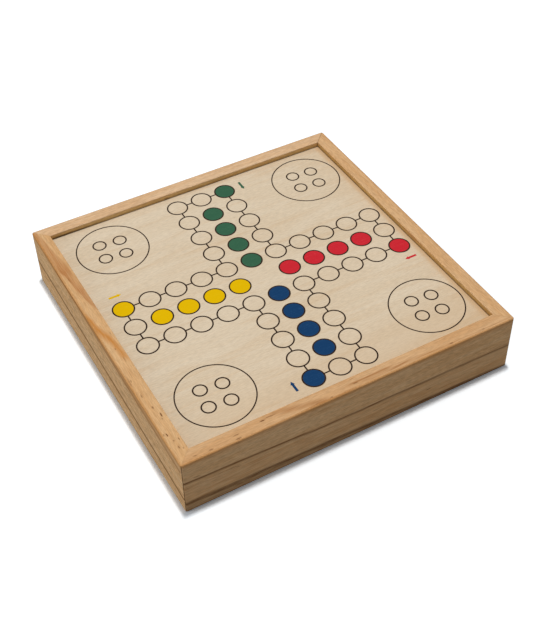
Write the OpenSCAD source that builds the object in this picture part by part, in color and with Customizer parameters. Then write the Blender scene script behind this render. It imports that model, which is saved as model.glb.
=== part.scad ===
// Folding ludo board box: a square case of two equal halves, sawn from one mitred frame and
// hinged along the back. The ludo board is let into the lid, and the base is a sorting tray.
// The origin is the centre of the case on the surface it lies on. +Z is up, +Y is the hinged
// back and +X the right.

/* [Case] */
// Length of each side of the square case
case_side = 286; // [250:1:340]
// Height of the closed case
case_h = 53; // [46:0.5:70]
// Thickness of the rails
rail_t = 12; // [11:0.5:14]
// Saw gap between the two halves when the case is closed
seam_gap = 0.2; // [0.1:0.05:0.5]
// Radius of the upright outer corners
corner_r = 1.8; // [1.6:0.1:4]
// Radius along the outer edge of each rim
rim_r = 1; // [0.5:0.1:1.4]
// Radius along the inner edge of each rim
rim_inner_r = 0.5; // [0.2:0.1:0.8]

/* [Panels] */
// Depth of the panels below the rims
panel_recess = 5.2; // [4:0.1:7]
// Thickness of the plywood panels
panel_t = 4; // [3:0.5:5]
// Depth of the grooves that hold the panels
groove_d = 4; // [3:0.5:5]
// Shadow gap between a panel and the outer side of its groove
groove_play = 0.6; // [0.1:0.05:0.8]
// Room left for the panel at the bottom of its groove
groove_end_play = 0.5; // [0.2:0.1:1]

/* [Print] */
// Margin between the outermost fields and the rails
print_margin = 6.7; // [5:0.1:12]
// Outer diameter of a field's outline
field_d = 18.5; // [14:0.1:19]
// Width of the printed lines
line_w = 1.2; // [0.5:0.1:1.6]
// Width of the home circles' lines
home_line_w = 1; // [0.5:0.1:1.6]
// Outer diameter of the home circles
home_d = 61.5; // [50:0.5:66]
// Margin between the home circles and the rails
home_margin = 6.8; // [5:0.1:12]
// Outer diameter of the places in a home circle
place_d = 12; // [8:0.5:14]
// Distance of the places from the middle of their home circle
place_ring_r = 12.5; // [10:0.5:15]
// Turn of the places away from the board's diagonals
place_turn = -5.8; // [-15:0.1:15]
// Length of a start arrow
arrow_len = 10.5; // [7:0.5:12]
// Distance of a start arrow from the middle of its start field
arrow_offset = 16.8; // [14:0.1:18]
// Width of a start arrow's shaft
arrow_w = 2; // [0.6:0.1:2.2]
// Width across the barbs of a start arrow
arrow_head_w = 3.6; // [2.4:0.1:4.5]
// Length of a start arrow's point
arrow_head_len = 3.2; // [2:0.1:5]
// Thickness of the ink
ink_t = 0.1; // [0.05:0.05:0.2]
// Shift of the print to the right of the middle of the lid
print_x = 2.9; // [-3:0.1:3]
// Shift of the print to the back of the middle of the lid
print_y = 0.6; // [-3:0.1:3]

/* [Tray] */
// Number of small bays along the front
bay_count = 4; // [2:1:6]
// Clear depth of the small bays, from front to back
bay_d = 64; // [40:1:100]
// Thickness of the dividers
divider_t = 4; // [3:0.5:6]
// Distance of the dividers' tops below the seam
divider_drop = 2; // [1:0.5:5]
// Depth of the housings that hold dividers in the rails
housing_d = 2; // [1:0.5:2.5]
// Depth of the housings that hold the short dividers in the long one
divider_housing_d = 1; // [0.5:0.1:1.2]
// Play of a divider in its housing, on each side
housing_play = 0.1; // [0.05:0.05:0.2]

/* [Hinges] */
// Distance of each hinge's middle from the nearest side of the case
hinge_inset = 58; // [40:1:80]
// Length of a hinge
hinge_len = 30; // [24:1:40]
// Width of a hinge leaf on its rail
leaf_w = 8.5; // [7:0.5:10]
// Thickness of a hinge leaf
leaf_t = 0.9; // [0.9:0.1:1.3]
// Radius of the round corners of a leaf
leaf_corner_r = 1; // [0.5:0.1:1.5]
// Play of a leaf in the shallow gain cut for it
gain_play = 0.1; // [0.05:0.05:0.3]
// Outer radius of the knuckles
knuckle_r = 2; // [1.8:0.1:2.4]
// Distance of the hinge pin's axis behind the case
axis_out = 0.5; // [0.4:0.1:2]
// Gap between neighbouring knuckles
knuckle_gap = 0.25; // [0.15:0.05:0.5]
// Clearance round a turning knuckle
knuckle_clear = 0.3; // [0.2:0.05:0.6]
// Radius of a hinge pin
pin_r = 0.9; // [0.7:0.05:1.1]
// Radial play of a hinge pin in its knuckles
pin_play = 0.05; // [0.02:0.01:0.1]
// Radius of the peened ends of a hinge pin
pin_head_r = 1.3; // [1.2:0.1:1.6]
// Thickness of the peened ends of a hinge pin
pin_head_t = 0.4; // [0.2:0.1:0.8]

/* [Screws] */
// Distance between the two screws of a leaf
screw_pitch = 19; // [14:0.5:20]
// Distance of the screws from the back of the case
screw_inset = 5; // [4.2:0.1:6]
// Diameter of a screw's shank
screw_d = 2; // [1.8:0.1:2.2]
// Diameter of a screw's countersunk head
screw_head_d = 3.4; // [3:0.1:3.6]
// Length of a screw
screw_len = 8; // [6:0.5:10]
// Length of a screw's point
screw_point_len = 2; // [1:0.5:3]
// Play round a screw
screw_play = 0.05; // [0.02:0.01:0.1]
// Width of the slot in a screw's head
slot_w = 0.5; // [0.3:0.1:0.7]
// Depth of the slot in a screw's head
slot_d = 0.35; // [0.2:0.05:0.5]

/* [Magnets] */
// Distance of each closing magnet from the nearest side of the case
magnet_inset = 33; // [28:0.5:38]
// Diameter of a closing magnet
magnet_d = 6; // [4:0.5:6.5]
// Thickness of a closing magnet
magnet_t = 3; // [2:0.5:5]
// Play round a closing magnet
magnet_play = 0.05; // [0.02:0.01:0.1]

/* [Hidden] */
// Height of each half, from its rim to the seam
half_h = (case_h - seam_gap) / 2;
// Half the length of a side
half_side = case_side / 2;
// Half the clear width between facing rails
inner_half = half_side - rail_t;
// Height of a panel's inner face above its half's rim
floor_z = panel_recess + panel_t;
// Distances of the hinges' middles and of the magnets from the middle of the case
hinge_x = half_side - hinge_inset;
magnet_x = half_side - magnet_inset;
// Side of a panel, which reaches into all four grooves
panel_side = 2 * (inner_half + groove_d - groove_end_play);
// Height of the board's playing face
board_z = case_h - panel_recess;
// Middle line of the long divider
long_divider_y = -inner_half + bay_d + divider_t / 2;
// Height of the dividers
divider_h = half_h - floor_z - divider_drop;
// Width of a housing
housing_w = divider_t + 2 * housing_play;
// Middle lines of the short dividers
short_divider_x = [for (i = [1 : bay_count - 1]) -inner_half + i * 2 * inner_half / bay_count];
// Axis of the hinge pins, behind the case and at the middle of its height
axis_y = half_side + axis_out;
axis_z = case_h / 2;
// Knuckles of a hinge, end to end: the outer two belong to the base and the middle one to the lid
knuckle_count = 3;
base_knuckles = [0, 2];
lid_knuckles = [1];
knuckle_pitch = hinge_len / knuckle_count;
knuckle_len = knuckle_pitch - knuckle_gap;
// Height of a countersunk head with flanks at 45 degrees
screw_head_h = (screw_head_d - screw_d) / 2;
// Inner radius of a field's outline, which its ink fills
field_fill_r = field_d / 2 - line_w;
// Fields from the middle of the board to the end of an arm
arm = 5;
// Distance between the centres of neighbouring fields, which fill the board between its margins
field_pitch = (2 * (inner_half - print_margin) - field_d) / (2 * arm);
// Distance of the home circles' centres from the middle of the board, along each side
home_offset = inner_half - home_margin - home_d / 2;
// Fields of one quarter of the track, in steps of the pitch from the middle of the board: in
// along one arm, out along the next and across its end. Four turned copies close the track.
quarter = concat(
    [for (i = [-arm : -1]) [i, 1]],
    [for (i = [2 : arm]) [-1, i]],
    [[0, arm]]
);
next_start = [1, arm];
// Turn of each colour's quarter, clockwise from the left arm
yellow_turn = 0;
green_turn = -90;
red_turn = -180;
blue_turn = -270;
// Overlap that carries a cut past the face it opens
cut = 1;
// Fineness of round parts
$fn = 48;

// Puts what is modelled in the base's half into the lid's half, as its mirror image
module in_lid() {
    translate([0, 0, case_h]) mirror([0, 0, 1]) children();
}

// The corner of a square that a round of radius r leaves over, at the origin
module round_off(r) {
    difference() {
        translate([-cut, -cut]) square(r + cut);
        translate([r, r]) circle(r);
    }
}

// Section of a rail: x runs inwards from its outer face, y from its rim to the seam
module rail_section() {
    difference() {
        square([rail_t, half_h]);
        round_off(rim_r);
        translate([rail_t, 0]) mirror([1, 0]) round_off(rim_inner_r);
        translate([rail_t - groove_d, panel_recess - groove_play])
            square([groove_d + cut, panel_t + groove_play]);
    }
}

// Section of a rounded corner, turned about the y axis
module corner_section() {
    difference() {
        square([corner_r, half_h]);
        translate([corner_r, 0]) mirror([1, 0]) round_off(rim_r);
    }
}

// The front rail before its own cuts: the section drawn along the side, with round corners,
// cut to a mitre of 45 degrees at both ends
module rail_blank() {
    intersection() {
        union() {
            translate([corner_r - half_side, -half_side, 0]) rotate([90, 0, 90])
                linear_extrude(case_side - 2 * corner_r) rail_section();
            for (side = [-1, 1])
                translate([side * (half_side - corner_r), corner_r - half_side, 0])
                    rotate_extrude() corner_section();
        }
        translate([0, 0, -cut]) linear_extrude(half_h + 2 * cut)
            polygon([[0, 0], [-case_side, -case_side], [case_side, -case_side]]);
    }
}

// Upright housing cut into a rail's or a divider's face at the origin, which looks along +Y
module housing(depth) {
    translate([-housing_w / 2, -depth, floor_z]) cube([housing_w, depth + cut, half_h]);
}

// Places its children at both hinges
module at_hinges() {
    for (side = [-1, 1]) translate([side * hinge_x, 0, 0]) children();
}

// Places its children at both screws of a leaf, with their heads' tops at the origin
module at_screws() {
    for (side = [-1, 1])
        translate([side * screw_pitch / 2, half_side - screw_inset, half_h]) children();
}

// Places its children at both closing magnets, at the seam
module at_magnets() {
    for (side = [-1, 1])
        translate([side * magnet_x, rail_t / 2 - half_side, half_h]) children();
}

// Cylinder along the pin's axis, between two places measured from the hinge's middle
module on_axis(x0, x1, r) {
    translate([x0, axis_y, axis_z]) rotate([0, 90, 0]) cylinder(h = x1 - x0, r = r);
}

// Knuckles with the given places along a hinge, grown by a clearance all round
module knuckles(places, clear = 0) {
    grow = clear == 0 ? 0 : knuckle_gap;
    for (i = places) {
        middle = (i + 0.5) * knuckle_pitch - hinge_len / 2;
        on_axis(middle - knuckle_len / 2 - grow, middle + knuckle_len / 2 + grow, knuckle_r + clear);
    }
}

// Gain for a leaf, with the round trough that its knuckles turn in and the screws' pilot holes
module hinge_cut() {
    translate([-hinge_len / 2 - gain_play, half_side - leaf_w - gain_play, half_h - leaf_t])
        cube([hinge_len + 2 * gain_play, leaf_w + gain_play + cut, leaf_t + cut]);
    on_axis(-hinge_len / 2 - pin_head_t - knuckle_clear, hinge_len / 2 + pin_head_t + knuckle_clear,
        knuckle_r + knuckle_clear);
    at_screws() translate([0, 0, -screw_len - screw_play])
        cylinder(h = screw_len, r = screw_d / 2 + screw_play);
}

module front_rail(housings) {
    color("burlywood") difference() {
        rail_blank();
        at_magnets() translate([0, 0, -magnet_t])
            cylinder(h = magnet_t + cut, r = magnet_d / 2 + magnet_play);
        if (housings)
            for (x = short_divider_x) translate([x, -inner_half, 0]) housing(housing_d);
    }
}

module back_rail() {
    color("burlywood") difference() {
        rotate([0, 0, 180]) rail_blank();
        at_hinges() hinge_cut();
    }
}

// A left or right rail: turn is the angle from the front to its side
module side_rail(turn, housings) {
    facing = turn > 0 ? 1 : -1;
    color("burlywood") difference() {
        rotate([0, 0, turn]) rail_blank();
        if (housings)
            translate([facing * inner_half, long_divider_y, 0]) rotate([0, 0, turn])
                housing(housing_d);
    }
}

module panel() {
    color("antiquewhite") translate([-panel_side / 2, -panel_side / 2, panel_recess])
        cube([panel_side, panel_side, panel_t]);
}

module long_divider() {
    len = 2 * (inner_half + housing_d - housing_play);
    color("wheat") difference() {
        translate([-len / 2, long_divider_y - divider_t / 2, floor_z])
            cube([len, divider_t, divider_h]);
        for (x = short_divider_x)
            translate([x, long_divider_y - divider_t / 2, 0]) rotate([0, 0, 180])
                housing(divider_housing_d);
    }
}

module short_dividers() {
    front = -inner_half - housing_d + housing_play;
    back = long_divider_y - divider_t / 2 + divider_housing_d - housing_play;
    color("wheat") for (x = short_divider_x)
        translate([x - divider_t / 2, front, floor_z]) cube([divider_t, back - front, divider_h]);
}

// A leaf of the hinge at the middle of the back: own and other list its knuckles and its mate's
module hinge_leaf(own, other) {
    color("goldenrod") difference() {
        union() {
            translate([0, 0, half_h - leaf_t]) linear_extrude(leaf_t) leaf_outline();
            knuckles(own);
        }
        on_axis(-hinge_len, hinge_len, pin_r + pin_play);
        knuckles(other, knuckle_clear);
        at_screws() screw_hole();
    }
}

module leaf_outline() {
    difference() {
        translate([-hinge_len / 2, half_side - leaf_w]) square([hinge_len, leaf_w + axis_out]);
        translate([-hinge_len / 2, half_side - leaf_w]) round_off(leaf_corner_r);
        translate([hinge_len / 2, half_side - leaf_w]) mirror([1, 0]) round_off(leaf_corner_r);
    }
}

// Countersunk hole for a screw whose head's top is at the origin
module screw_hole() {
    translate([0, 0, -leaf_t - cut]) cylinder(h = leaf_t + 2 * cut, r = screw_d / 2 + screw_play);
    translate([0, 0, -screw_head_h])
        cylinder(h = screw_head_h, r1 = screw_d / 2 + screw_play, r2 = screw_head_d / 2 + screw_play);
}

module screw() {
    difference() {
        rotate_extrude() polygon([
            [0, 0], [screw_head_d / 2, 0], [screw_d / 2, -screw_head_h],
            [screw_d / 2, screw_point_len - screw_len], [0, -screw_len]
        ]);
        translate([-screw_head_d, -slot_w / 2, -slot_d]) cube([2 * screw_head_d, slot_w, slot_d + cut]);
    }
}

module hinge_screws() {
    color("gold") at_hinges() at_screws() screw();
}

// The pin of the hinge at the middle of the back, with peened ends that keep it in
module hinge_pin() {
    color("darkgoldenrod") union() {
        on_axis(-hinge_len / 2, hinge_len / 2, pin_r);
        on_axis(-hinge_len / 2 - pin_head_t, -hinge_len / 2, pin_head_r);
        on_axis(hinge_len / 2, hinge_len / 2 + pin_head_t, pin_head_r);
    }
}

module magnets() {
    color("silver") at_magnets() translate([0, 0, -magnet_t])
        cylinder(h = magnet_t, r = magnet_d / 2);
}

// Lays flat artwork on the board as a coat of ink
module printed() {
    translate([print_x, print_y, board_z]) linear_extrude(ink_t) children();
}

module ring(d, w = line_w) {
    difference() {
        circle(d = d);
        circle(d = d - 2 * w);
    }
}

// Short line that joins the outlines of two neighbouring fields
module link(from, to) {
    middle = (from + to) * field_pitch / 2;
    len = field_pitch - field_d + line_w;
    along_x = from[1] == to[1];
    translate(middle) square(along_x ? [len, line_w] : [line_w, len], center = true);
}

module home(x, y) {
    translate([x, y]) {
        ring(home_d, home_line_w);
        for (i = [0 : 3]) rotate(45 + 90 * i + place_turn) translate([place_ring_r, 0]) ring(place_d);
    }
}

// Outlines of one quarter of the board: its track, its goals and its home
module quarter_outlines() {
    track = concat(quarter, [next_start]);
    for (i = [0 : len(quarter) - 1]) {
        translate(quarter[i] * field_pitch) ring(field_d);
        link(track[i], track[i + 1]);
    }
    for (i = [1 : arm - 1]) translate([-i * field_pitch, 0]) ring(field_d);
    home(-home_offset, home_offset);
}

module track_outlines() {
    color("saddlebrown") printed()
        for (turn = [yellow_turn, green_turn, red_turn, blue_turn]) rotate(turn) quarter_outlines();
}

// One colour's ink: its start, its goals and the arrow that shows which way play runs
module colour_fields(turn, ink) {
    color(ink) printed() rotate(turn) {
        translate(quarter[0] * field_pitch) {
            circle(field_fill_r);
            translate([-arrow_len / 2, arrow_offset]) arrow();
        }
        for (i = [1 : arm - 1]) translate([-i * field_pitch, 0]) circle(field_fill_r);
    }
}

module arrow() {
    translate([0, -arrow_w / 2]) square([arrow_len - arrow_head_len, arrow_w]);
    translate([arrow_len - arrow_head_len, 0])
        polygon([[0, -arrow_head_w / 2], [arrow_head_len, 0], [0, arrow_head_w / 2]]);
}

module base_front_rail() { front_rail(housings = true); }
module base_back_rail() { back_rail(); }
module base_left_rail() { side_rail(-90, housings = true); }
module base_right_rail() { side_rail(90, housings = true); }
module base_panel() { panel(); }
module left_hinge_base_leaf() { translate([-hinge_x, 0, 0]) hinge_leaf(base_knuckles, lid_knuckles); }
module right_hinge_base_leaf() { translate([hinge_x, 0, 0]) hinge_leaf(base_knuckles, lid_knuckles); }
module left_hinge_pin() { translate([-hinge_x, 0, 0]) hinge_pin(); }
module right_hinge_pin() { translate([hinge_x, 0, 0]) hinge_pin(); }
module base_hinge_screws() { hinge_screws(); }
module base_magnets() { magnets(); }

module lid_front_rail() { in_lid() front_rail(housings = false); }
module lid_back_rail() { in_lid() back_rail(); }
module lid_left_rail() { in_lid() side_rail(-90, housings = false); }
module lid_right_rail() { in_lid() side_rail(90, housings = false); }
module ludo_panel() { in_lid() panel(); }
module yellow_fields() { colour_fields(yellow_turn, "gold"); }
module green_fields() { colour_fields(green_turn, "seagreen"); }
module red_fields() { colour_fields(red_turn, "crimson"); }
module blue_fields() { colour_fields(blue_turn, "midnightblue"); }
module left_hinge_lid_leaf() {
    in_lid() translate([-hinge_x, 0, 0]) hinge_leaf(lid_knuckles, base_knuckles);
}
module right_hinge_lid_leaf() {
    in_lid() translate([hinge_x, 0, 0]) hinge_leaf(lid_knuckles, base_knuckles);
}
module lid_hinge_screws() { in_lid() hinge_screws(); }
module lid_magnets() { in_lid() magnets(); }

base_front_rail();
base_back_rail();
base_left_rail();
base_right_rail();
base_panel();
long_divider();
short_dividers();
left_hinge_base_leaf();
right_hinge_base_leaf();
left_hinge_pin();
right_hinge_pin();
base_hinge_screws();
base_magnets();
lid_front_rail();
lid_back_rail();
lid_left_rail();
lid_right_rail();
ludo_panel();
track_outlines();
yellow_fields();
green_fields();
red_fields();
blue_fields();
left_hinge_lid_leaf();
right_hinge_lid_leaf();
lid_hinge_screws();
lid_magnets();
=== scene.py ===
# %% [markdown]
# # A folding ludo board box
# The case comes in ready made from the frame: mitred pine rails, two plywood panels, the printed
# ludo board, dividers and brass hinges, each as its own mesh in metres. Nothing is moved or
# resized here. This lesson gives each piece its finish, then sets the camera, the light and the
# floor, so that a render looks like the case on a white table.

# %% Load the frame
import math

import bpy
import numpy as np
from mathutils import Matrix, Vector


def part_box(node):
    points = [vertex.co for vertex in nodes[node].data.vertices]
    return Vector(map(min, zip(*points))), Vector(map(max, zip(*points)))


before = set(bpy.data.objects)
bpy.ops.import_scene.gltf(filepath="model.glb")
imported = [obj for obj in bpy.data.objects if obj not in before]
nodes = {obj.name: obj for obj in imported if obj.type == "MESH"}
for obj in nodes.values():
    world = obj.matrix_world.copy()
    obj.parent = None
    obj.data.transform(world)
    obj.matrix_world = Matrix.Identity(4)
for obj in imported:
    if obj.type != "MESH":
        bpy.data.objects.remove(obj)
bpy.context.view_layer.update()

MM = 1000.0
print("pieces in the frame:", len(nodes))

# %% [markdown]
# ## The sizes that the finishes follow
# A material knows a point only by its coordinates. So the outer side, the height, the rails'
# thickness and the depth of the board below the rim are read off the frame's own pieces, and
# every pattern below is placed from them, in mm.

# %% Measure the case
rail_low, rail_high = (np.array(corner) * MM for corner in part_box("lid_front_rail"))
HALF_SIDE = -rail_low[1]
SIDE = 2 * HALF_SIDE
CASE_H = rail_high[2]
RAIL_T = rail_high[1] - rail_low[1]
RECESS = CASE_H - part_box("ludo_panel")[1][2] * MM
print("side", round(SIDE, 2), "height", round(CASE_H, 2), "rail", round(RAIL_T, 2))

# %% [markdown]
# ## The camera
# The camera stands where the photographer did: in front of the case, to its left and above it,
# looking down at 44.5 degrees. A camera looks along its own -Z, with +X to the right and +Y up, so
# its matrix is those three directions side by side. They are worked out from the place where it
# stands, the point that it looks at and a slight tilt of its horizon.

# %% Set the camera
CAMERA_AT = Vector((-0.3090, -0.5847, 0.6549))
LOOKS_AT = Vector((-0.0125, -0.0428, 0.0479))
HORIZON_TILT = math.radians(-1.144)
LENS_MM = 63.25
SENSOR_MM = 36.0


def camera_matrix(place, target, tilt):
    """Looking from place to target: right is forward cross up, and both turn by tilt about it."""
    forward = (target - place).normalized()
    right = forward.cross(Vector((0, 0, 1))).normalized()
    above = right.cross(forward)
    turn = Matrix.Rotation(-tilt, 3, forward)
    axes = Matrix((turn @ right, turn @ above, -forward)).transposed()
    return Matrix.Translation(place) @ axes.to_4x4()


camera_data = bpy.data.cameras.new("photo_camera")
camera_data.sensor_fit = "AUTO"
camera_data.sensor_width = SENSOR_MM
camera_data.lens = LENS_MM
camera = bpy.data.objects.new("photo_camera", camera_data)
camera.matrix_world = camera_matrix(CAMERA_AT, LOOKS_AT, HORIZON_TILT)
bpy.context.scene.collection.objects.link(camera)
bpy.context.scene.camera = camera
print("camera distance, in m:", round((LOOKS_AT - CAMERA_AT).length, 3))

# %% [markdown]
# ## Building node trees in words
# A material is a tree of nodes. Written out, each node takes a line to make, one for each
# setting and one for each link. These helpers do all three at once, so that the cells below
# read as the recipe of a finish. A value may be a number, a tuple or another node's output.

# %% Node helpers
def put(tree, kind, inputs=None, **settings):
    """Adds a node, sets its own settings, and fills or links the inputs named in a dictionary. An
    input that shares its name with another one is given by its number."""
    node = tree.nodes.new("ShaderNode" + kind)
    for name, value in settings.items():
        setattr(node, name, value)
    for name, value in (inputs or {}).items():
        feed(tree, node.inputs[name], value)
    return node


def feed(tree, socket, value):
    """Links another node's output to a socket, or sets the socket's own value."""
    if isinstance(value, bpy.types.NodeSocket):
        tree.links.new(value, socket)
    else:
        socket.default_value = value


print("two helpers ready")

# %% [markdown]
# ## Arithmetic over a surface
# Every pattern below is a sum worked out at each point of a surface. These are its few steps:
# plain arithmetic, steps on places, one colour laid over another, and a soft edge.

# %% Arithmetic helpers
def calc(tree, operation, a, b=0.0, c=0.0):
    """One step of arithmetic on numbers that vary over the surface."""
    return put(tree, "Math", {0: a, 1: b, 2: c}, operation=operation).outputs[0]


def vector_calc(tree, operation, a, b=(0.0, 0.0, 0.0)):
    """One step of arithmetic on places. LENGTH gives a number, and the others give a place."""
    results = put(tree, "VectorMath", {0: a, 1: b}, operation=operation).outputs
    return results["Value"] if operation == "LENGTH" else results["Vector"]


def split(tree, place):
    """The three numbers of a place, by the names X, Y and Z."""
    return put(tree, "SeparateXYZ", {0: place}).outputs


def join(tree, x, y, z):
    """A place from three numbers."""
    return put(tree, "CombineXYZ", {0: x, 1: y, 2: z}).outputs[0]


def blend(tree, factor, a, b, blend_type="MIX"):
    """Mixes colour b over colour a by factor. A Mix node's colours are its inputs 6 and 7."""
    return put(tree, "Mix", {0: factor, 6: a, 7: b}, data_type="RGBA",
               blend_type=blend_type).outputs[2]


def fade(tree, value, low, high, to_low=0.0, to_high=1.0):
    """Turns a value from low to high into a smooth step from to_low to to_high."""
    return put(tree, "MapRange", {0: value, 1: low, 2: high, 3: to_low, 4: to_high},
               interpolation_type="SMOOTHSTEP").outputs[0]


print("arithmetic ready")

# %% [markdown]
# ## Places and noise
# A finish needs to know where a point lies and to vary from point to point. Object coordinates
# give the place, and stay put when the lid turns, because they belong to the mesh. A noise is
# smooth and random. Its place is divided by three sizes, so that its blotches get those sizes.

# %% Place and noise helpers
def place_mm(tree, turn=0.0, scale=(MM, MM, MM), shift=(0.0, 0.0, 0.0)):
    """A point's Object coordinates in mm, turned by degrees about +Z and then shifted."""
    place = put(tree, "TexCoord").outputs["Object"]
    return put(tree, "Mapping", {"Vector": place, "Scale": scale, "Location": shift,
                                 "Rotation": (0.0, 0.0, math.radians(turn))}).outputs[0]


def noise(tree, place, sizes, detail=2.0, roughness=0.5, distortion=0.0):
    """Smooth random values about 0.5, whose blotches have about the three sizes in mm."""
    scale = tuple(1.0 / size for size in sizes)
    shrunk = put(tree, "Mapping", {"Vector": place, "Scale": scale}).outputs[0]
    return put(tree, "TexNoise", {"Vector": shrunk, "Scale": 1.0, "Detail": detail,
                                  "Roughness": roughness, "Distortion": distortion}).outputs[0]


def swing(tree, value, reach):
    """Turns a noise, from 0 to 1, into a swing from -reach to reach."""
    return calc(tree, "MULTIPLY_ADD", value, 2.0 * reach, -reach)


print("places and noise ready")

# %% [markdown]
# ## Colours, groups and materials
# A colour is written as a picture editor shows it. A pattern that several materials use is a
# node group, built once with named inputs and outputs, and each material places it with values
# of its own.

# %% Colour, group and material helpers
def srgb(red, green, blue):
    """A colour as a picture editor shows it, from 0 to 255, as the linear light that it stands
    for: the sRGB curve, a power of 2.4 above a short straight foot."""
    share = np.array([red, green, blue]) / 255.0
    light = np.where(share <= 0.04045, share / 12.92, ((share + 0.055) / 1.055) ** 2.4)
    return (*light.tolist(), 1.0)


def new_group(name, inputs, outputs):
    """An empty node group with the given sockets, each a name and a type such as Float, and its
    own input and output sockets by name."""
    group = bpy.data.node_groups.new(name, "ShaderNodeTree")
    for in_out, sockets in (("INPUT", inputs), ("OUTPUT", outputs)):
        for label, kind in sockets.items():
            group.interface.new_socket(name=label, in_out=in_out, socket_type="NodeSocket" + kind)
    given = group.nodes.new("NodeGroupInput").outputs
    return group, given, group.nodes.new("NodeGroupOutput").inputs


def use_group(tree, group, inputs):
    """Places a node group in a tree and returns its outputs."""
    node = tree.nodes.new("ShaderNodeGroup")
    node.node_tree = group
    for name, value in inputs.items():
        feed(tree, node.inputs[name], value)
    return node.outputs


def new_material(name):
    """A material with an empty Principled shader, and that shader's inputs by name."""
    material = bpy.data.materials.new(name)
    material.use_nodes = True
    return material, material.node_tree, material.node_tree.nodes["Principled BSDF"].inputs


print("group and material helpers ready")

# %% [markdown]
# ## Fibre
# Seen close, wood is bundles of long thin fibres. Seen from a step away they are a fine streak
# along the length. A noise that is stretched twenty times as far along the grain as across it
# gives that streak. The group puts out this fine streak, a broad one for slow changes of tone,
# a short mottle for the pores, and a height for the bump.

# %% Fibre group
FINE_STREAK = (14.0, 0.7, 0.7)
BROAD_STREAK = (70.0, 5.0, 5.0)
PORE = (5.0, 0.8, 0.8)
PORE_SHARE = 0.6
NOISE_START = (17.0, 0.0, 0.0)


def make_fibre_group():
    """Place is in mm with x along the grain, and Seed moves it to another part of the noise.
    Height is the fine streak with a share of the pores."""
    group, given, out = new_group("wood_fibre", {"Place": "Vector", "Seed": "Float"},
                                  {"Fine": "Float", "Broad": "Float", "Pores": "Float",
                                   "Height": "Float"})
    started = vector_calc(group, "ADD", given["Place"], NOISE_START)
    seed = join(group, given["Seed"], given["Seed"], given["Seed"])
    place = vector_calc(group, "ADD", started, seed)
    fine = noise(group, place, FINE_STREAK, detail=3.0, roughness=0.6)
    pores = noise(group, place, PORE, detail=2.0, roughness=0.6)
    feed(group, out["Fine"], fine)
    feed(group, out["Broad"], noise(group, place, BROAD_STREAK, detail=2.0, distortion=0.4))
    feed(group, out["Pores"], pores)
    feed(group, out["Height"], calc(group, "MULTIPLY_ADD", pores, PORE_SHARE, fine))
    return group


FIBRE = make_fibre_group()
print("group:", FIBRE.name)

# %% [markdown]
# ## What every wood shares
# A noise stays mostly between 0.3 and 0.7, so a tone, a mottle or a roughness that follows it is
# faded between those two. The fibres also stand up a little: a bump tilts the shading with their
# height, which is a fifth of a millimetre at most.

# %% Shared wood finish
NOISE_LOW = 0.3
NOISE_HIGH = 0.7
GRAIN_HEIGHT = 0.0002
WOOD_ROUGHNESS = (0.56, 0.68)


def mottle(tree, colour, pores, depth):
    """Darkens and lightens a colour by up to depth with the pores."""
    darkest = calc(tree, "SUBTRACT", 1.0, depth)
    lightest = calc(tree, "ADD", 1.0, depth)
    shade = fade(tree, pores, NOISE_LOW, NOISE_HIGH, darkest, lightest)
    grey = put(tree, "CombineColor", {0: shade, 1: shade, 2: shade}).outputs[0]
    return blend(tree, 1.0, colour, grey, "MULTIPLY")


def finish(tree, shader, colour, roughness, specular):
    """Gives the shader its colour, its roughness and how much it shines."""
    feed(tree, shader["Base Color"], colour)
    feed(tree, shader["Roughness"], roughness)
    feed(tree, shader["Specular IOR Level"], specular)


def raise_surface(tree, shader, height, strength, distance=GRAIN_HEIGHT):
    """Tilts the shading with a height. Distance is what a height of 1 stands for, in metres."""
    bump = put(tree, "Bump", {"Height": height, "Strength": strength, "Distance": distance})
    feed(tree, shader["Normal"], bump.outputs[0])


print("wood finish ready")

# %% [markdown]
# ## Growth rings
# A growth ring is a curved sheet in the wood. Where a planed face cuts the sheet across, it
# shows as a thin dark line. Where a face nearly runs along it, the same sheet shows as a wide
# brown patch. So a ring is made here as a real sheet: a depth below the lid's face that slopes
# along the rail and leans across it, with a slow wave. The line down the side and the patch on
# the rim are then one thing, and they meet at the edge, as in a real board.

# %% Ring group
RING_END_FADE = 14.0
SLOW_WAVE = (45.0, 14.0, 40.0)
QUICK_WAVE = (7.0, 2.5, 2.5)
QUICK_REACH = 0.3


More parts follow.
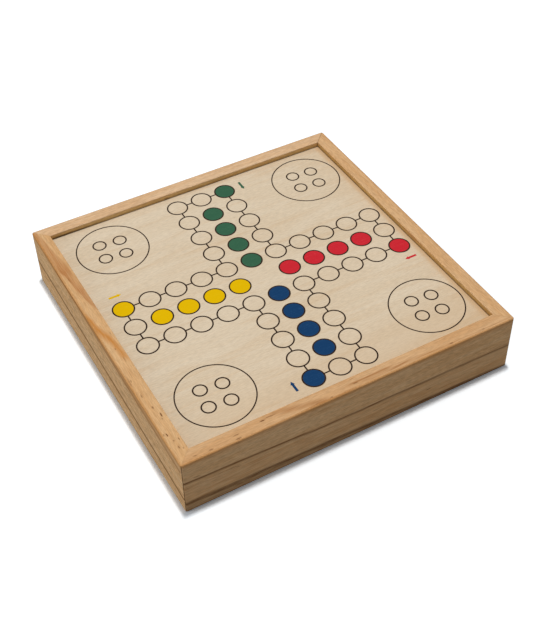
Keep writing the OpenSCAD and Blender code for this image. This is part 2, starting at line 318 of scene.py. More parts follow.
def make_ring_group():
    """Mask is 1 on the sheet at Depth + Slope * x + Lean * y plus a wave, and fades to 0 over
    Rise mm above it and Fall mm below it, and before From and after To along the rail. Below is
    1 under the sheet. Place is in mm: x along the rail, y in from its outer face and z down."""
    numbers = ("Depth", "Slope", "Lean", "Wave", "Rise", "Fall", "From", "To")
    inputs = {"Place": "Vector", **{name: "Float" for name in numbers}}
    group, given, out = new_group("growth_ring", inputs, {"Mask": "Float", "Below": "Float"})
    parts = split(group, given["Place"])
    slow = swing(group, noise(group, given["Place"], SLOW_WAVE, detail=1.0), 1.0)
    quick = swing(group, noise(group, given["Place"], QUICK_WAVE, detail=2.0), QUICK_REACH)
    sheet = calc(group, "MULTIPLY_ADD", parts["X"], given["Slope"], given["Depth"])
    sheet = calc(group, "MULTIPLY_ADD", parts["Y"], given["Lean"], sheet)
    sheet = calc(group, "MULTIPLY_ADD", calc(group, "ADD", slow, quick), given["Wave"], sheet)
    off = calc(group, "SUBTRACT", parts["Z"], sheet)
    above = fade(group, off, calc(group, "MULTIPLY", given["Rise"], -1.0), 0.0)
    below = fade(group, off, 0.0, given["Fall"], 1.0, 0.0)
    begins = calc(group, "SUBTRACT", given["From"], RING_END_FADE)
    ends = calc(group, "ADD", given["To"], RING_END_FADE)
    span = calc(group, "MULTIPLY", fade(group, parts["X"], begins, given["From"]),
                fade(group, parts["X"], given["To"], ends, 1.0, 0.0))
    feed(group, out["Mask"], calc(group, "MULTIPLY", calc(group, "MULTIPLY", above, below), span))
    feed(group, out["Below"], calc(group, "MULTIPLY", above, span))
    return group


RING = make_ring_group()
print("group:", RING.name)

# %% [markdown]
# ## Scattered resin flecks
# Pine has short dark dashes along the grain where resin canals were cut open. A Voronoi pattern
# scatters one point in each cell. With the cells stretched along the grain, a small distance
# from the point is a dash, and a random number for each cell keeps only a few of them.

# %% Fleck group
FLECK_CELL = (11.0, 2.1, 2.1)
FLECK_CORE = 0.16
FLECK_RIM = 0.33


def make_fleck_group():
    """Mask is 1 on short dashes along x. Keep is the share of the scattered dashes that shows."""
    group, given, out = new_group("resin_flecks", {"Place": "Vector", "Keep": "Float"},
                                  {"Mask": "Float"})
    scale = tuple(1.0 / size for size in FLECK_CELL)
    place = put(group, "Mapping", {"Vector": given["Place"], "Scale": scale}).outputs[0]
    cells = put(group, "TexVoronoi", {"Vector": place, "Scale": 1.0, "Randomness": 1.0})
    chance = put(group, "SeparateColor", {0: cells.outputs["Color"]}).outputs[0]
    kept = calc(group, "LESS_THAN", chance, given["Keep"])
    dash = fade(group, cells.outputs["Distance"], FLECK_CORE, FLECK_RIM, 1.0, 0.0)
    feed(group, out["Mask"], calc(group, "MULTIPLY", dash, kept))
    return group


FLECKS = make_fleck_group()
print("group:", FLECKS.name)

# %% [markdown]
# ## Single resin canals
# The largest canals are marks that one would know the box by, so each is placed one by one on the
# rim: a long flat ellipsoid just at the surface, with a little wander in its outline.

# %% Canal group
CANAL_HALF_WIDTH = 0.65
CANAL_WANDER = 0.6
CANAL_BEND = (2.5, 2.0, 2.0)
CANAL_CORE = 0.35
CANAL_RIM = 1.1


def make_canal_group():
    """Mask is 1 on one short dash in the rim's face: an ellipsoid at the place Along and In, Half
    mm long either way and CANAL_HALF_WIDTH wide."""
    group, given, out = new_group("resin_canal", {"Place": "Vector", "Along": "Float",
                                                  "In": "Float", "Half": "Float"},
                                  {"Mask": "Float"})
    parts = split(group, given["Place"])
    wander = swing(group, noise(group, given["Place"], CANAL_BEND), CANAL_WANDER)
    across = calc(group, "ADD", calc(group, "SUBTRACT", parts["Y"], given["In"]), wander)
    along = calc(group, "SUBTRACT", parts["X"], given["Along"])
    off = join(group, calc(group, "DIVIDE", along, given["Half"]),
               calc(group, "DIVIDE", across, CANAL_HALF_WIDTH),
               calc(group, "DIVIDE", parts["Z"], CANAL_HALF_WIDTH))
    distance = vector_calc(group, "LENGTH", off)
    feed(group, out["Mask"], fade(group, distance, CANAL_CORE, CANAL_RIM, 1.0, 0.0))
    return group


CANAL = make_canal_group()
print("group:", CANAL.name)

# %% [markdown]
# ## Pine, from its ground to its edges
# The base and the lid are sawn from one frame, so a ring runs on across the saw cut. That is why
# there is one material for each side of the case and not for each rail. Each starts by turning
# the case's coordinates into the rail's own: x along it from its left end, y in from its outer
# face and z down from the lid's face. Two tones follow the broad streak and brown follows the
# fine one. The outer wall has a tint of its own. On the front and the left it is painted light,
# which makes the wall lighter and cooler than the rim. In the cells below, a name that ends in
# IN, DOWN or ALONG holds the two distances in mm between which a mask fades, along y, z or x.

# %% Pine ground
PINE_LIGHT = srgb(217, 177, 131)
PINE_MID = srgb(210, 165, 116)
PINE_BROWN = srgb(160, 102, 52)
BROWN_STREAK = (0.45, 0.8)
MOST_BROWN = 0.34
WALL_ENDS_IN = (0.5, 3.0)
WALL_STARTS_DOWN = (1.0, 8.0)
TURNS = {"front": 0.0, "left": 90.0, "back": 180.0, "right": -90.0}


def rail_place(tree, turn):
    """The rail's own coordinates in mm: the case is turned about +Z until this side is the front,
    then measured from its left end, its outer face and the lid's face."""
    return place_mm(tree, turn, (MM, MM, -MM), (HALF_SIDE, HALF_SIDE, CASE_H))


def outer_wall(tree, parts):
    """1 on the outer face, and 0 on the rim and further in."""
    return calc(tree, "MULTIPLY", fade(tree, parts["Y"], *WALL_ENDS_IN, 1.0, 0.0),
                fade(tree, parts["Z"], *WALL_STARTS_DOWN))


def pine_ground(tree, fibre, wall, tints, pore_depths):
    """Two tones, a tint and a depth of the pores, of which the first is the rim's and the second
    the wall's, and brown in the fine streaks. On the front and the left the wall's tint is painted
    light."""
    colour = blend(tree, fade(tree, fibre["Broad"], NOISE_LOW, NOISE_HIGH), PINE_LIGHT, PINE_MID)
    colour = blend(tree, 1.0, colour, blend(tree, wall, tints[0], tints[1]), "MULTIPLY")
    brown = fade(tree, fibre["Fine"], *BROWN_STREAK, 0.0, MOST_BROWN)
    colour = blend(tree, brown, colour, PINE_BROWN)
    depth = calc(tree, "MULTIPLY_ADD", wall, pore_depths[1] - pore_depths[0], pore_depths[0])
    return mottle(tree, colour, fibre["Pores"], depth)


print("pine ground ready")

# %% [markdown]
# ## The recess round the board
# The inner faces of the rails, down in the recess, carry painted shade: they are a little darker
# and yellower, with a painted dark brown line of shade at their foot against the board, which is
# stronger towards one end of a rail.

# %% Painted recess shade
# The first colour below is the painted shade at the foot of the recess wall.
PINE_FOOT_SHADE = srgb(56, 36, 12)
INNER_FACE_IN = (RAIL_T - 0.9, RAIL_T - 0.1)
UNDER_RIM_DOWN = (0.3, 1.2)
BOARD_DOWN = (RECESS, RECESS + 0.2)
FOOT_SHADE_GROWS_ALONG = (0.75 * SIDE, 0.93 * SIDE)
FOOT_SHADE_GROWS_DOWN = (0.4 * RECESS, 0.9 * RECESS)


def recess_wall(tree, parts):
    """1 on the rail's inner face, from just under the rim down to the board."""
    inner_face = fade(tree, parts["Y"], *INNER_FACE_IN)
    under_rim = fade(tree, parts["Z"], *UNDER_RIM_DOWN)
    above_board = fade(tree, parts["Z"], *BOARD_DOWN, 1.0, 0.0)
    return calc(tree, "MULTIPLY", inner_face, calc(tree, "MULTIPLY", under_rim, above_board))


def paint_recess_shade(tree, parts, colour, shade, foot_shade):
    """Paints shade on the recess's wall by multiplying its wood by shade. Towards the board it
    paints a dark line of shade, whose strength at the rail's left and right end is the two values
    of the last argument."""
    wall = recess_wall(tree, parts)
    colour = blend(tree, wall, colour, blend(tree, 1.0, colour, shade, "MULTIPLY"))
    most = fade(tree, parts["X"], *FOOT_SHADE_GROWS_ALONG, *foot_shade)
    depth = fade(tree, parts["Z"], *FOOT_SHADE_GROWS_DOWN, 0.0, most)
    # A dark line of painted shade at the foot of the wall, against the board.
    return blend(tree, calc(tree, "MULTIPLY", wall, depth), colour, PINE_FOOT_SHADE)


print("recess stain ready")

# %% [markdown]
# ## Rings and canals on a rail
# A rail's rings and canals are lists of measurements. Each ring is laid over the colour so far.
# Its strength rises and falls with the fibres and the pores, because dark late wood is grainy and
# not a painted stripe.

# %% Rings and canals
PINE_RING = srgb(98, 64, 34)
PINE_FLECK = srgb(110, 66, 34)
FINE_GRAIN = 0.9
PORE_GRAIN = 0.6
GRAIN_MIDDLE = (FINE_GRAIN + PORE_GRAIN) / 2
FEW_FLECKS = 0.02
MORE_FLECKS = 0.06
FLECKS_THIN_OUT_DOWN = (4.0, 9.0)
FLECK_STRENGTH = 0.5


def ring(depth, slope, lean=0.0, wave=0.5, rise=0.5, fall=0.9, start=-50.0, end=400.0,
         colour=PINE_RING, strength=0.8, part="Mask"):
    """One growth ring, in mm. Part is Mask for the ring itself or Below for the wood under it."""
    sheet = {"Depth": depth, "Slope": slope, "Lean": lean, "Wave": wave, "Rise": rise,
             "Fall": fall, "From": start, "To": end}
    return {"sheet": sheet, "colour": colour, "strength": strength, "part": part}


def lay_rings(tree, place, fibre, colour, rings):
    """Lays each ring over the colour by its mask times a grainy strength, which is the ring's own
    where the fibres and the pores are at their middle."""
    for one in rings:
        mask = use_group(tree, RING, {"Place": place, **one["sheet"]})[one["part"]]
        least = one["strength"] - GRAIN_MIDDLE
        grainy = calc(tree, "MULTIPLY_ADD", fibre["Fine"], FINE_GRAIN, least)
        grainy = calc(tree, "MULTIPLY_ADD", fibre["Pores"], PORE_GRAIN, grainy)
        colour = blend(tree, calc(tree, "MULTIPLY", mask, grainy), colour, one["colour"])
    return colour


def lay_canals(tree, place, parts, colour, canals):
    """Lays the scattered flecks, which are more near the rim, and the canals that are given one by
    one, each by its place along and in, its half length and its strength."""
    keep = fade(tree, parts["Z"], *FLECKS_THIN_OUT_DOWN, MORE_FLECKS, FEW_FLECKS)
    scattered = use_group(tree, FLECKS, {"Place": place, "Keep": keep})["Mask"]
    dashes = calc(tree, "MULTIPLY", scattered, FLECK_STRENGTH)
    for along, inwards, half, strength in canals:
        canal = use_group(tree, CANAL, {"Place": place, "Along": along, "In": inwards,
                                        "Half": half})
        dashes = calc(tree, "MULTIPLY_ADD", canal["Mask"], strength, dashes)
    return blend(tree, calc(tree, "MINIMUM", dashes, 1.0), colour, PINE_FLECK)


print("rings and canals ready")

# %% [markdown]
# ## Edges and mitres
# The outer top edge is painted a warmer, darker tone: painted shade of its rounded edge.
# At the corners two rails meet in a mitre, and glue and dust have made its line dark: clear on the
# wall's corner, faint on the rim.

# %% Edges and mitres
# The first colour below is the painted shade of the outer top edge.
PINE_EDGE_SHADE = srgb(180, 121, 58)
PINE_JOINT = srgb(80, 48, 26)
EDGE_ENDS_IN = (0.4, 2.0)
EDGE_ENDS_DOWN = (0.8, 4.5)
EDGE_SHADE_STRENGTH = 0.5
MITRE_WIDTH = 0.7
MITRE_CORE = 0.3 * MITRE_WIDTH
CORNER_ENDS_IN = (1.0, 3.0)
RIM_ENDS_DOWN = (0.0, 2.0)
INNER_SHARE = 0.4


def paint_edge_shade(tree, parts, colour):
    """Paints a warm shade on the outer top edge of the case, a little way in and down."""
    edge = calc(tree, "MULTIPLY", fade(tree, parts["Y"], *EDGE_ENDS_IN, 1.0, 0.0),
                fade(tree, parts["Z"], *EDGE_ENDS_DOWN, 1.0, 0.0))
    return blend(tree, calc(tree, "MULTIPLY", edge, EDGE_SHADE_STRENGTH), colour, PINE_EDGE_SHADE)


def mitre_line(tree, parts):
    """1 on the mitre at either end of a rail: where x, measured from that end, equals y."""
    near = calc(tree, "SUBTRACT", parts["X"], parts["Y"])
    far = calc(tree, "SUBTRACT", calc(tree, "SUBTRACT", SIDE, parts["X"]), parts["Y"])
    gap = calc(tree, "MINIMUM", calc(tree, "ABSOLUTE", near), calc(tree, "ABSOLUTE", far))
    return fade(tree, gap, MITRE_CORE, MITRE_WIDTH, 1.0, 0.0)


def lay_mitres(tree, parts, colour, joint, rim_joint):
    """Darkens the mitres: by joint on the wall's corners, by a share of it further in, and on the
    rim by the two values of rim_joint, at the rail's left and right end."""
    on_rim = fade(tree, parts["X"], 0.0, SIDE, *rim_joint)
    on_wall = fade(tree, parts["Y"], *CORNER_ENDS_IN, joint, INNER_SHARE * joint)
    strength = fade(tree, parts["Z"], *RIM_ENDS_DOWN, on_rim, on_wall)
    line = calc(tree, "MULTIPLY", mitre_line(tree, parts), strength)
    return blend(tree, line, colour, PINE_JOINT)


print("edges and mitres ready")

# %% [markdown]
# ## The pine of one side
# A side's finish is the steps above, each laid over the last: the ground, the painted shade in
# the recess, the rings and canals, the edge with its painted shade, and the mitres. Oiled pine
# like this is matt and has no sheen even at a low angle, so the shader's specular level is zero.

# %% Pine
MATT = 0.0


def pine(side, seed, tints, rings, canals=(), pore_depths=(0.12, 0.14), joint=0.5,
         rim_joint=(0.1, 0.1), shade=(1.0, 0.97, 0.7, 1.0), foot_shade=(0.42, 0.42)):
    """Pine for one side of the case. Tints and pore_depths are the rim's and the wall's, the
    wall's tint on the front and the left being painted light, and the rest is as the functions
    above say."""
    material, tree, shader = new_material("pine_" + side)
    place = rail_place(tree, TURNS[side])
    parts = split(tree, place)
    fibre = use_group(tree, FIBRE, {"Place": place, "Seed": seed})
    colour = pine_ground(tree, fibre, outer_wall(tree, parts), tints, pore_depths)
    colour = paint_recess_shade(tree, parts, colour, shade, foot_shade)
    colour = lay_rings(tree, place, fibre, colour, rings)
    colour = lay_canals(tree, place, parts, colour, canals)
    colour = paint_edge_shade(tree, parts, colour)
    colour = lay_mitres(tree, parts, colour, joint, rim_joint)
    roughness = fade(tree, fibre["Fine"], NOISE_LOW, NOISE_HIGH, *WOOD_ROUGHNESS)
    finish(tree, shader, colour, roughness, specular=MATT)
    raise_surface(tree, shader, fibre["Height"], strength=0.12)
    return material


PINE = {}
print("pine ready")

# %% [markdown]
# ## The front side
# Three long rings slope down to the right along this wall, and the wood under two of them is
# browner. On the rim lie six brown streaks, of which two slant across it, and eleven canals.

# %% Front pine
RIM_STREAK = {"lean": 0.5, "wave": 0.4, "colour": PINE_BROWN}
FRONT_RINGS = [
    ring(20.3, 0.042, wave=0.35, rise=1.4, fall=2.4, end=95.0, strength=0.77),
    ring(24.0, 0.0165, rise=1.8, fall=2.6, start=108.0, strength=0.62),
    ring(21.5, 0.034, wave=0.6, rise=3.0, colour=PINE_BROWN, strength=0.14, part="Below"),
    ring(43.6, 0.030, wave=0.7, rise=3.0, fall=3.8, strength=0.62),
    ring(43.2, 0.030, wave=0.7, rise=2.6, strength=0.32, part="Below"),
    ring(-4.84, 0.0386, lean=0.193, rise=0.7, fall=0.8, start=88.0, end=112.0,
         colour=PINE_BROWN, strength=0.5),
    ring(-0.5, 0.0, **RIM_STREAK, rise=0.7, fall=0.9, start=108.0, end=135.0, strength=0.38),
    ring(-2.9, 0.0, lean=0.5, rise=0.8, fall=0.8, start=146.0, end=168.0, colour=PINE_BROWN,
         strength=0.74),
    ring(-1.7, 0.0, **RIM_STREAK, rise=1.3, fall=1.2, start=155.0, end=195.0, strength=0.24),
    ring(4.48, -0.035, **RIM_STREAK, rise=0.6, fall=0.7, start=180.0, end=184.0, strength=0.78),
    ring(-1.35, 0.0, **RIM_STREAK, rise=0.5, fall=0.5, start=205.0, strength=0.3),
]
FRONT_CANALS = [
    (13, 3.8, 2.2, 0.5), (25, 3.1, 2.4, 0.6), (46, 2.0, 3.2, 0.7), (46, 5.7, 3.2, 0.6),
    (68, 7.8, 2.6, 0.85), (75, 8.7, 6.0, 0.6), (110, 2.2, 2.0, 0.3), (122, 2.0, 1.5, 0.5),
    (144, 5.0, 2.6, 0.5), (228, 2.7, 2.0, 0.6), (258, 2.7, 1.5, 0.5),
]
# The wall's tint here is painted light, which makes the wall lighter and cooler than the rim.
FRONT_TINTS = [(0.97, 0.95, 0.96, 1.0), (1.01, 1.035, 1.065, 1.0)]
PINE["front"] = pine("front", seed=3.0, tints=FRONT_TINTS, rings=FRONT_RINGS,
                     canals=FRONT_CANALS, pore_depths=(0.10, 0.14), joint=0.75)
print("front rings and canals:", len(FRONT_RINGS), len(FRONT_CANALS))

# %% [markdown]
# ## The left side
# One rusty ring runs the whole length of this wall. Another starts under the rim and comes down
# towards the near end, as a soft brown zone that stays on the wall. On the rim lie a few tan and
# orange streaks with ragged ends, and most of the canals lie towards the near end.

# %% Left pine
PINE_RUST = srgb(106, 60, 8)
PINE_TAN = srgb(170, 104, 52)
PINE_ORANGE = srgb(196, 126, 52)
LEFT_RINGS = [
    ring(28.9, 0.033, wave=0.6, rise=2.8, fall=2.0, colour=PINE_RUST, strength=0.81),
    ring(-0.3, 0.033, lean=-40.0, rise=5.0, fall=2.2, start=60.0, colour=PINE_BROWN,
         strength=0.62),
    ring(0.9, 0.031, lean=-0.3, wave=0.7, rise=6.0, fall=0.5, end=58.0, colour=PINE_TAN,
         strength=0.42),
    ring(-1.29, 0.0294, lean=-0.176, rise=0.3, fall=1.8, start=62.0, end=108.0,
         colour=PINE_TAN, strength=0.54),
    ring(-3.61, 0.0317, lean=-0.176, wave=0.7, rise=0.9, fall=0.6, start=122.0, end=168.0,
         colour=PINE_ORANGE, strength=0.72),
]
LEFT_CANALS = [
    (72, 5.0, 4.5, 0.4), (161, 6.4, 1.6, 0.5), (174, 8.0, 4.0, 0.35), (197, 1.8, 7.0, 0.45),
    (197, 3.2, 2.0, 0.4), (214, 3.7, 2.6, 0.5), (228, 6.2, 1.8, 0.6), (237, 8.5, 2.8, 0.95),
    (241, 7.6, 1.2, 0.4), (255, 2.0, 1.8, 0.5), (256, 4.0, 2.2, 0.9), (263, 6.0, 1.2, 0.5),
    (263, 9.8, 1.8, 0.6), (270, 6.6, 1.8, 0.65), (272, 9.0, 1.2, 0.4),
]
# The wall's tint here is painted light, which makes the wall lighter and cooler than the rim.
LEFT_TINTS = [(1.03, 1.035, 1.03, 1.0), (1.1, 1.145, 1.19, 1.0)]
PINE["left"] = pine("left", seed=11.0, tints=LEFT_TINTS, rings=LEFT_RINGS,
                    canals=LEFT_CANALS, pore_depths=(0.10, 0.26), joint=0.75)
print("left rings and canals:", len(LEFT_RINGS), len(LEFT_CANALS))

# %% [markdown]
# ## The back and the right side
# Only the rims of these two are in view from the front, and they are plain. Their walls get two
# rings each, like those of the other two.

# %% Back and right pine
BACK_RINGS = [
    ring(16.0, 0.02, wave=0.8, rise=1.4, fall=1.8, strength=0.7),
    ring(38.0, 0.025, wave=0.8, rise=1.6, fall=2.2, strength=0.8),
]
RIGHT_RINGS = [
    ring(25.0, -0.02, wave=0.8, rise=1.4, fall=2.2, strength=0.8),
    ring(47.0, -0.025, wave=0.8, rise=1.8, fall=3.0, strength=0.8),
]
BACK_TINTS = [(1.08, 1.19, 1.44, 1.0), (1.0, 1.02, 1.06, 1.0)]
RIGHT_TINTS = [(1.02, 1.03, 1.06, 1.0), (1.02, 1.03, 1.06, 1.0)]
# The back's painted shade at the foot of its recess grows strong towards one end, and the right's
# recess wall is painted darker in shade.
PINE["back"] = pine("back", seed=29.0, tints=BACK_TINTS, rings=BACK_RINGS, joint=0.9,
                    rim_joint=(0.45, 0.1), foot_shade=(0.42, 0.95))
PINE["right"] = pine("right", seed=47.0, tints=RIGHT_TINTS, rings=RIGHT_RINGS, joint=0.6,
                     rim_joint=(0.1, 0.45), shade=(0.9, 0.88, 0.62, 1.0))
print("pine:", sorted(PINE))

# %% [markdown]
# ## Plywood
# The panels are thin birch plywood. Its veneer is peeled off the log in one long sheet, so it
# has hardly any ring lines, only a pale, cloudy figure drawn out along the grain, with short
# fine pores. It is warmer in tone near the front and at its right-hand end. The band beside the
# right rail, warmer still, is painted shade and warm light bounced off the rail.

# %% Plywood
PLY_LIGHT = srgb(221, 204, 179)
PLY_MID = srgb(217, 198, 171)
PLY_WARM = srgb(205, 172, 132)
VENEER_CLOUD = (110.0, 16.0, 40.0)
CLOUD_EDGE = (0.35, 0.65)
VENEER_SEED = 5.0
VENEER_MOTTLE = 0.08
WARM_STREAKS = {"Broad": (0.5, 0.75), "Fine": (0.5, 0.8)}
STREAK_WARMTH = 0.3
INNER_HALF = HALF_SIDE - RAIL_T
NEAR_BAND = (-0.9 * HALF_SIDE, -0.45 * HALF_SIDE)
NEAR_WARMTH = 0.4
LEFT_SHARE = 0.7
RIGHT_SHARE = 1.1
RIGHT_BAND = (0.65 * HALF_SIDE, 0.92 * HALF_SIDE)
RIGHT_WARMTH = 0.14
# The band beside the right rail is painted shade and warm bounced light.
RAIL_SHADE_BAND = (INNER_HALF - 6.0, INNER_HALF - 1.0)
RAIL_SHADE_WARMTH = 0.8


def warm_bands(tree, parts):
    """How warm the veneer is, from 0 to 1, along the near edge, at the right-hand end and beside
    the right rail, as three masks. The last is painted shade and light bounced off the rail."""
    near = fade(tree, parts["Y"], *NEAR_BAND, NEAR_WARMTH, 0.0)
    share = fade(tree, parts["X"], -HALF_SIDE, HALF_SIDE, LEFT_SHARE, RIGHT_SHARE)
    right_end = fade(tree, parts["X"], *RIGHT_BAND, 0.0, RIGHT_WARMTH)
    painted_rail_shade = fade(tree, parts["X"], *RAIL_SHADE_BAND, 0.0, RAIL_SHADE_WARMTH)
    return calc(tree, "MULTIPLY", near, share), right_end, painted_rail_shade


def plywood():
    """Pale veneer with its grain along +X, on all faces of a panel."""
    material, tree, shader = new_material("birch_plywood")
    place = place_mm(tree)
    fibre = use_group(tree, FIBRE, {"Place": place, "Seed": VENEER_SEED})
    cloud = noise(tree, place, VENEER_CLOUD, detail=3.0, distortion=0.6)
    colour = blend(tree, fade(tree, cloud, *CLOUD_EDGE), PLY_LIGHT, PLY_MID)
    for streak, edge in WARM_STREAKS.items():
        warmth = fade(tree, fibre[streak], *edge, 0.0, STREAK_WARMTH)
        colour = blend(tree, warmth, colour, PLY_WARM)
    colour = mottle(tree, colour, fibre["Pores"], VENEER_MOTTLE)
    for warmth in warm_bands(tree, split(tree, place)):
        colour = blend(tree, warmth, colour, PLY_WARM)
    roughness = fade(tree, fibre["Fine"], NOISE_LOW, NOISE_HIGH, *WOOD_ROUGHNESS)
    finish(tree, shader, colour, roughness, specular=0.12)
    raise_surface(tree, shader, fibre["Fine"], strength=0.08)
    return material


PLYWOOD = plywood()
print("plywood:", PLYWOOD.name)

# %% [markdown]
# ## Screen printed ink
# Ink that is pressed through a mesh lies in a thin, slightly uneven film. The veneer's fibres,
# with the same seed as above, show through it in faint specks, and its surface is a little
# smoother than the veneer's.

# %% Inks
SPECK = (1.7, 1.7, 1.7)
SPECK_EDGE = (0.4, 0.65)
FIBRE_EDGE = (0.45, 0.75)
MOST_THINNING = 0.9
INK_ROUGHNESS = (0.5, 0.62)


def ink(name, colour, thin):
    """A film of ink: colour, mixed towards thin where the film is thinner over the fibres."""
    material, tree, shader = new_material(name)
    place = place_mm(tree)
    fibre = use_group(tree, FIBRE, {"Place": place, "Seed": VENEER_SEED})
    speck = noise(tree, place, SPECK, detail=3.0, roughness=0.7)
    thinning = calc(tree, "MULTIPLY", fade(tree, fibre["Fine"], *FIBRE_EDGE),
                    fade(tree, speck, *SPECK_EDGE))
    colour = blend(tree, calc(tree, "MULTIPLY", thinning, MOST_THINNING), colour, thin)
    roughness = fade(tree, speck, NOISE_LOW, NOISE_HIGH, *INK_ROUGHNESS)
    finish(tree, shader, colour, roughness, specular=0.03)
    raise_surface(tree, shader, fibre["Fine"], strength=0.06)
    return material


INKS = {
    "track_outlines": ink("outline_ink", srgb(48, 34, 26), srgb(86, 66, 52)),
    "yellow_fields": ink("yellow_ink", srgb(229, 185, 0), srgb(232, 194, 18)),
    "green_fields": ink("green_ink", srgb(54, 98, 74), srgb(70, 114, 86)),
    "red_fields": ink("red_ink", srgb(205, 40, 52), srgb(215, 66, 70)),
    "blue_fields": ink("blue_ink", srgb(22, 61, 103), srgb(40, 79, 121)),
}
print("inks:", sorted(INKS))

# %% [markdown]
# ## Dividers
# The tray's dividers are thin pine slats, planed and left without oil. They reuse the fibre
# group with paler tones. The grain of a slat runs along its length, so the long one and the
# short ones differ in how it is turned.

# %% Dividers
SLAT_LIGHT = srgb(222, 190, 148)
SLAT_MID = srgb(211, 174, 128)
SLAT_SEED = 71.0
SLAT_TONE_EDGE = (0.35, 0.65)
SLAT_STREAK = (0.5, 0.8)
SLAT_BROWN = 0.3


def slat(name, grain_turn):
    """Bare pine with its grain along +X turned by grain_turn degrees."""
    material, tree, shader = new_material(name)
    place = place_mm(tree, grain_turn)
    fibre = use_group(tree, FIBRE, {"Place": place, "Seed": SLAT_SEED})
    colour = blend(tree, fade(tree, fibre["Broad"], *SLAT_TONE_EDGE), SLAT_LIGHT, SLAT_MID)
    brown = fade(tree, fibre["Fine"], *SLAT_STREAK, 0.0, SLAT_BROWN)
    colour = blend(tree, brown, colour, PINE_BROWN)
    finish(tree, shader, colour, roughness=0.7, specular=0.25)
    raise_surface(tree, shader, fibre["Height"], strength=0.15)
    return material


SLAT_ALONG = slat("slat_along", grain_turn=0.0)
SLAT_ACROSS = slat("slat_across", grain_turn=90.0)
print("slats:", SLAT_ALONG.name, SLAT_ACROSS.name)

# %% [markdown]
# ## Brass and nickel
# The hinges are rolled brass with fine brush lines along the leaf and a little dullness where
# fingers have been. The magnets are plated with nickel.

# %% Metals
BRUSH_LINE = (6.0, 0.12, 0.12)
TARNISH_SPOT = (5.0, 5.0, 5.0)
TARNISH_DULLS = (0.4, 0.7)
TARNISH_ROUGHENS = (0.35, 0.7)
BRUSH_HEIGHT = 0.0001
DULLER_BY = 0.15


def metal(name, bright, dull, roughness):
    """Metal whose colour and roughness drift between a bright and a dull state, with fine lines
    along X from a stretched noise."""
    material, tree, shader = new_material(name)
    place = place_mm(tree)
    tarnish = noise(tree, place, TARNISH_SPOT, detail=4.0)
    dulled = fade(tree, tarnish, *TARNISH_DULLS)
    feed(tree, shader["Base Color"], blend(tree, dulled, bright, dull))
    feed(tree, shader["Metallic"], 1.0)
    worn = fade(tree, tarnish, *TARNISH_ROUGHENS, roughness, roughness + DULLER_BY)
    feed(tree, shader["Roughness"], worn)
    lines = noise(tree, place, BRUSH_LINE)
    raise_surface(tree, shader, lines, strength=0.08, distance=BRUSH_HEIGHT)
    return material


BRASS = metal("rolled_brass", srgb(214, 178, 104), srgb(176, 138, 74), roughness=0.28)
PIN_BRASS = metal("drawn_brass", srgb(206, 168, 98), srgb(164, 128, 72), roughness=0.24)
SCREW_BRASS = metal("turned_brass", srgb(208, 174, 110), srgb(170, 136, 80), roughness=0.3)
NICKEL = metal("satin_nickel", srgb(200, 200, 200), srgb(164, 162, 160), roughness=0.3)
print("metals:", BRASS.name, PIN_BRASS.name, SCREW_BRASS.name, NICKEL.name)

# %% [markdown]
# ## Dressing the pieces
# Each piece of the frame gets one material by its name: a rail by its side, and the rest by what
# kind of piece it is.

# %% Assign the materials
KINDS = {"long_divider": SLAT_ALONG, "short_dividers": SLAT_ACROSS, "panel": PLYWOOD,
         "leaf": BRASS, "pin": PIN_BRASS, "screws": SCREW_BRASS, "magnets": NICKEL, **INKS}


def finish_for(name):
    """A rail's material by its side, and another piece's by its whole name or by its last word."""
    if name.endswith("_rail"):
        return PINE[name.split("_")[1]]
    return KINDS.get(name) or KINDS[name.split("_")[-1]]


for name, piece in nodes.items():
    piece.data.materials.clear()
    piece.data.materials.append(finish_for(name))
print("dressed:", len(nodes))

# %% [markdown]
# ## Lamps
# The photograph shows where its lamps stood. A narrow shadow, a few millimetres wide, lies on the
# table in front of the case and along its left, so the main lamp hung almost straight above, a
# little behind and to the right. Yet the left wall is half as bright again as the front one, so
# a cool lamp stood low on the left. Both are weak enough that a colour renders about as it is
# written.

# %% Lamps
CASE_MIDDLE = Vector((0.0, 0.0, 0.03))


def area_lamp(name, place, sides, watts, colour):
    """A rectangular lamp of the given width and height in metres, turned to face the case."""
    data = bpy.data.lights.new(name, "AREA")
    data.shape = "RECTANGLE"
    data.size, data.size_y = sides
    data.energy = watts
    data.color = colour
    lamp = bpy.data.objects.new(name, data)
    lamp.matrix_world = camera_matrix(Vector(place), CASE_MIDDLE, 0.0)
    bpy.context.scene.collection.objects.link(lamp)


area_lamp("top_lamp", (0.10, 0.15, 4.0), (0.18, 0.38), watts=97.0, colour=(1.0, 0.97, 0.93))
area_lamp("left_lamp", (-2.4, 0.35, 0.65), (0.8, 0.8), watts=13.8, colour=(0.94, 0.97, 0.99))

# %% [markdown]
# ## The room
# A pale room fills the shadows from all sides. Looked at, it is plain white. A world can be both,
# because the Light Path node tells a ray that looks from a ray that only carries light.

# %% World
WORLD_LIGHT = 0.3
ROOM = (0.92, 0.96, 1.0, 1.0)
WHITE = (1.0, 1.0, 1.0, 1.0)


def looked_at(tree):
    """1 for rays that look straight, in a mirror or through glass, else 0."""
    path = put(tree, "LightPath").outputs
    seen = calc(tree, "ADD", path["Is Camera Ray"], path["Is Glossy Ray"])
    return calc(tree, "MINIMUM", calc(tree, "ADD", seen, path["Is Transmission Ray"]), 1.0)


def mix_shaders(tree, factor, a, b):
    """Shader b over shader a by factor."""
    return put(tree, "MixShader", {0: factor, 1: a.outputs[0], 2: b.outputs[0]})


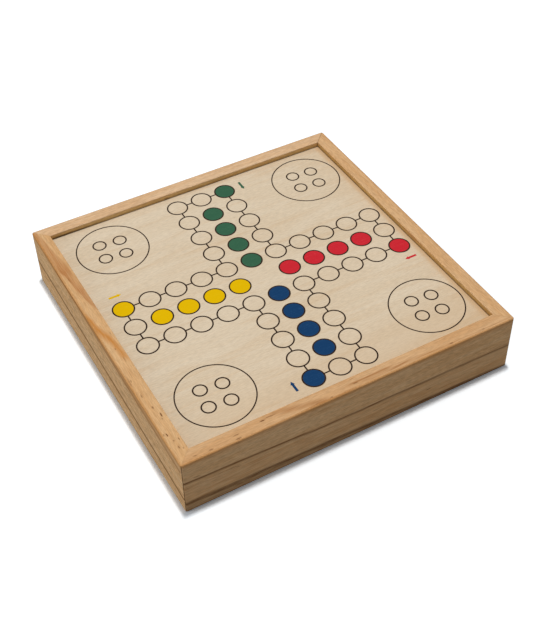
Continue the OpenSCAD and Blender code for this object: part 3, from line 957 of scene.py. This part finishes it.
world = bpy.data.worlds.new("pale_room")
bpy.context.scene.world = world
world.use_nodes = True
world_tree = world.node_tree
world_tree.nodes.clear()
room = put(world_tree, "Background", {"Color": ROOM, "Strength": WORLD_LIGHT})
white = put(world_tree, "Background", {"Color": WHITE, "Strength": 1.0})
both = mix_shaders(world_tree, looked_at(world_tree), room, white)
put(world_tree, "OutputWorld", {0: both.outputs[0]})
print("world:", world.name, "at", WORLD_LIGHT)

# %% [markdown]
# ## Floor
# The floor is one large flat sheet just below the case. Looked at, it is nearly white and takes
# the case's soft shadow. Further off, where the lamp no longer reaches, it turns to plain white,
# like a paper sweep. For light that bounces off it onto the case it is greyer, so that the side
# walls keep their shade.

# %% Floor
FLOOR_HALF = 6.0
FLOOR_DROP = 0.0002
LIT_RADIUS = 0.65
FLOOR_SEEN = (1.18, 1.25, 1.32, 1.0)
FLOOR_BOUNCE = srgb(182, 184, 187)


def flat_sheet(name, half, height, count=3):
    """A square sheet: the grid of two parameters, each of count steps from -half to half, at one
    height. A face joins a point with the next one along and the two above them."""
    steps = np.linspace(-half, half, count)
    across, along = np.meshgrid(steps, steps)
    points = np.stack([across, along, np.full_like(across, height)], axis=-1).reshape(-1, 3)
    row, column = np.meshgrid(np.arange(count - 1), np.arange(count - 1), indexing="ij")
    corner = (row * count + column).ravel()
    faces = np.stack([corner, corner + 1, corner + count + 1, corner + count], axis=1)
    mesh = bpy.data.meshes.new(name)
    mesh.from_pydata(points.tolist(), [], faces.tolist())
    sheet = bpy.data.objects.new(name, mesh)
    bpy.context.scene.collection.objects.link(sheet)
    return sheet


floor = flat_sheet("floor", FLOOR_HALF, -FLOOR_DROP)
floor_material = bpy.data.materials.new("white_floor")
floor_material.use_nodes = True
floor_tree = floor_material.node_tree
floor_tree.nodes.clear()
bounced = put(floor_tree, "BsdfDiffuse", {"Color": FLOOR_BOUNCE})
near_floor = put(floor_tree, "BsdfDiffuse", {"Color": FLOOR_SEEN})
far_floor = put(floor_tree, "Emission", {"Color": WHITE, "Strength": 1.0})
distance = vector_calc(floor_tree, "LENGTH", put(floor_tree, "TexCoord").outputs["Object"])
far_off = fade(floor_tree, distance, LIT_RADIUS, 2 * LIT_RADIUS)
seen_floor = mix_shaders(floor_tree, far_off, near_floor, far_floor)
floor_mix = mix_shaders(floor_tree, looked_at(floor_tree), bounced, seen_floor)
put(floor_tree, "OutputMaterial", {0: floor_mix.outputs[0]})
floor.data.materials.append(floor_material)
print("floor:", floor.name, "faces", len(floor.data.polygons))

# %% [markdown]
# ## Colour management and the end
# The Standard view shows colours as they are written.

# %% Finish
bpy.context.scene.view_settings.view_transform = "Standard"
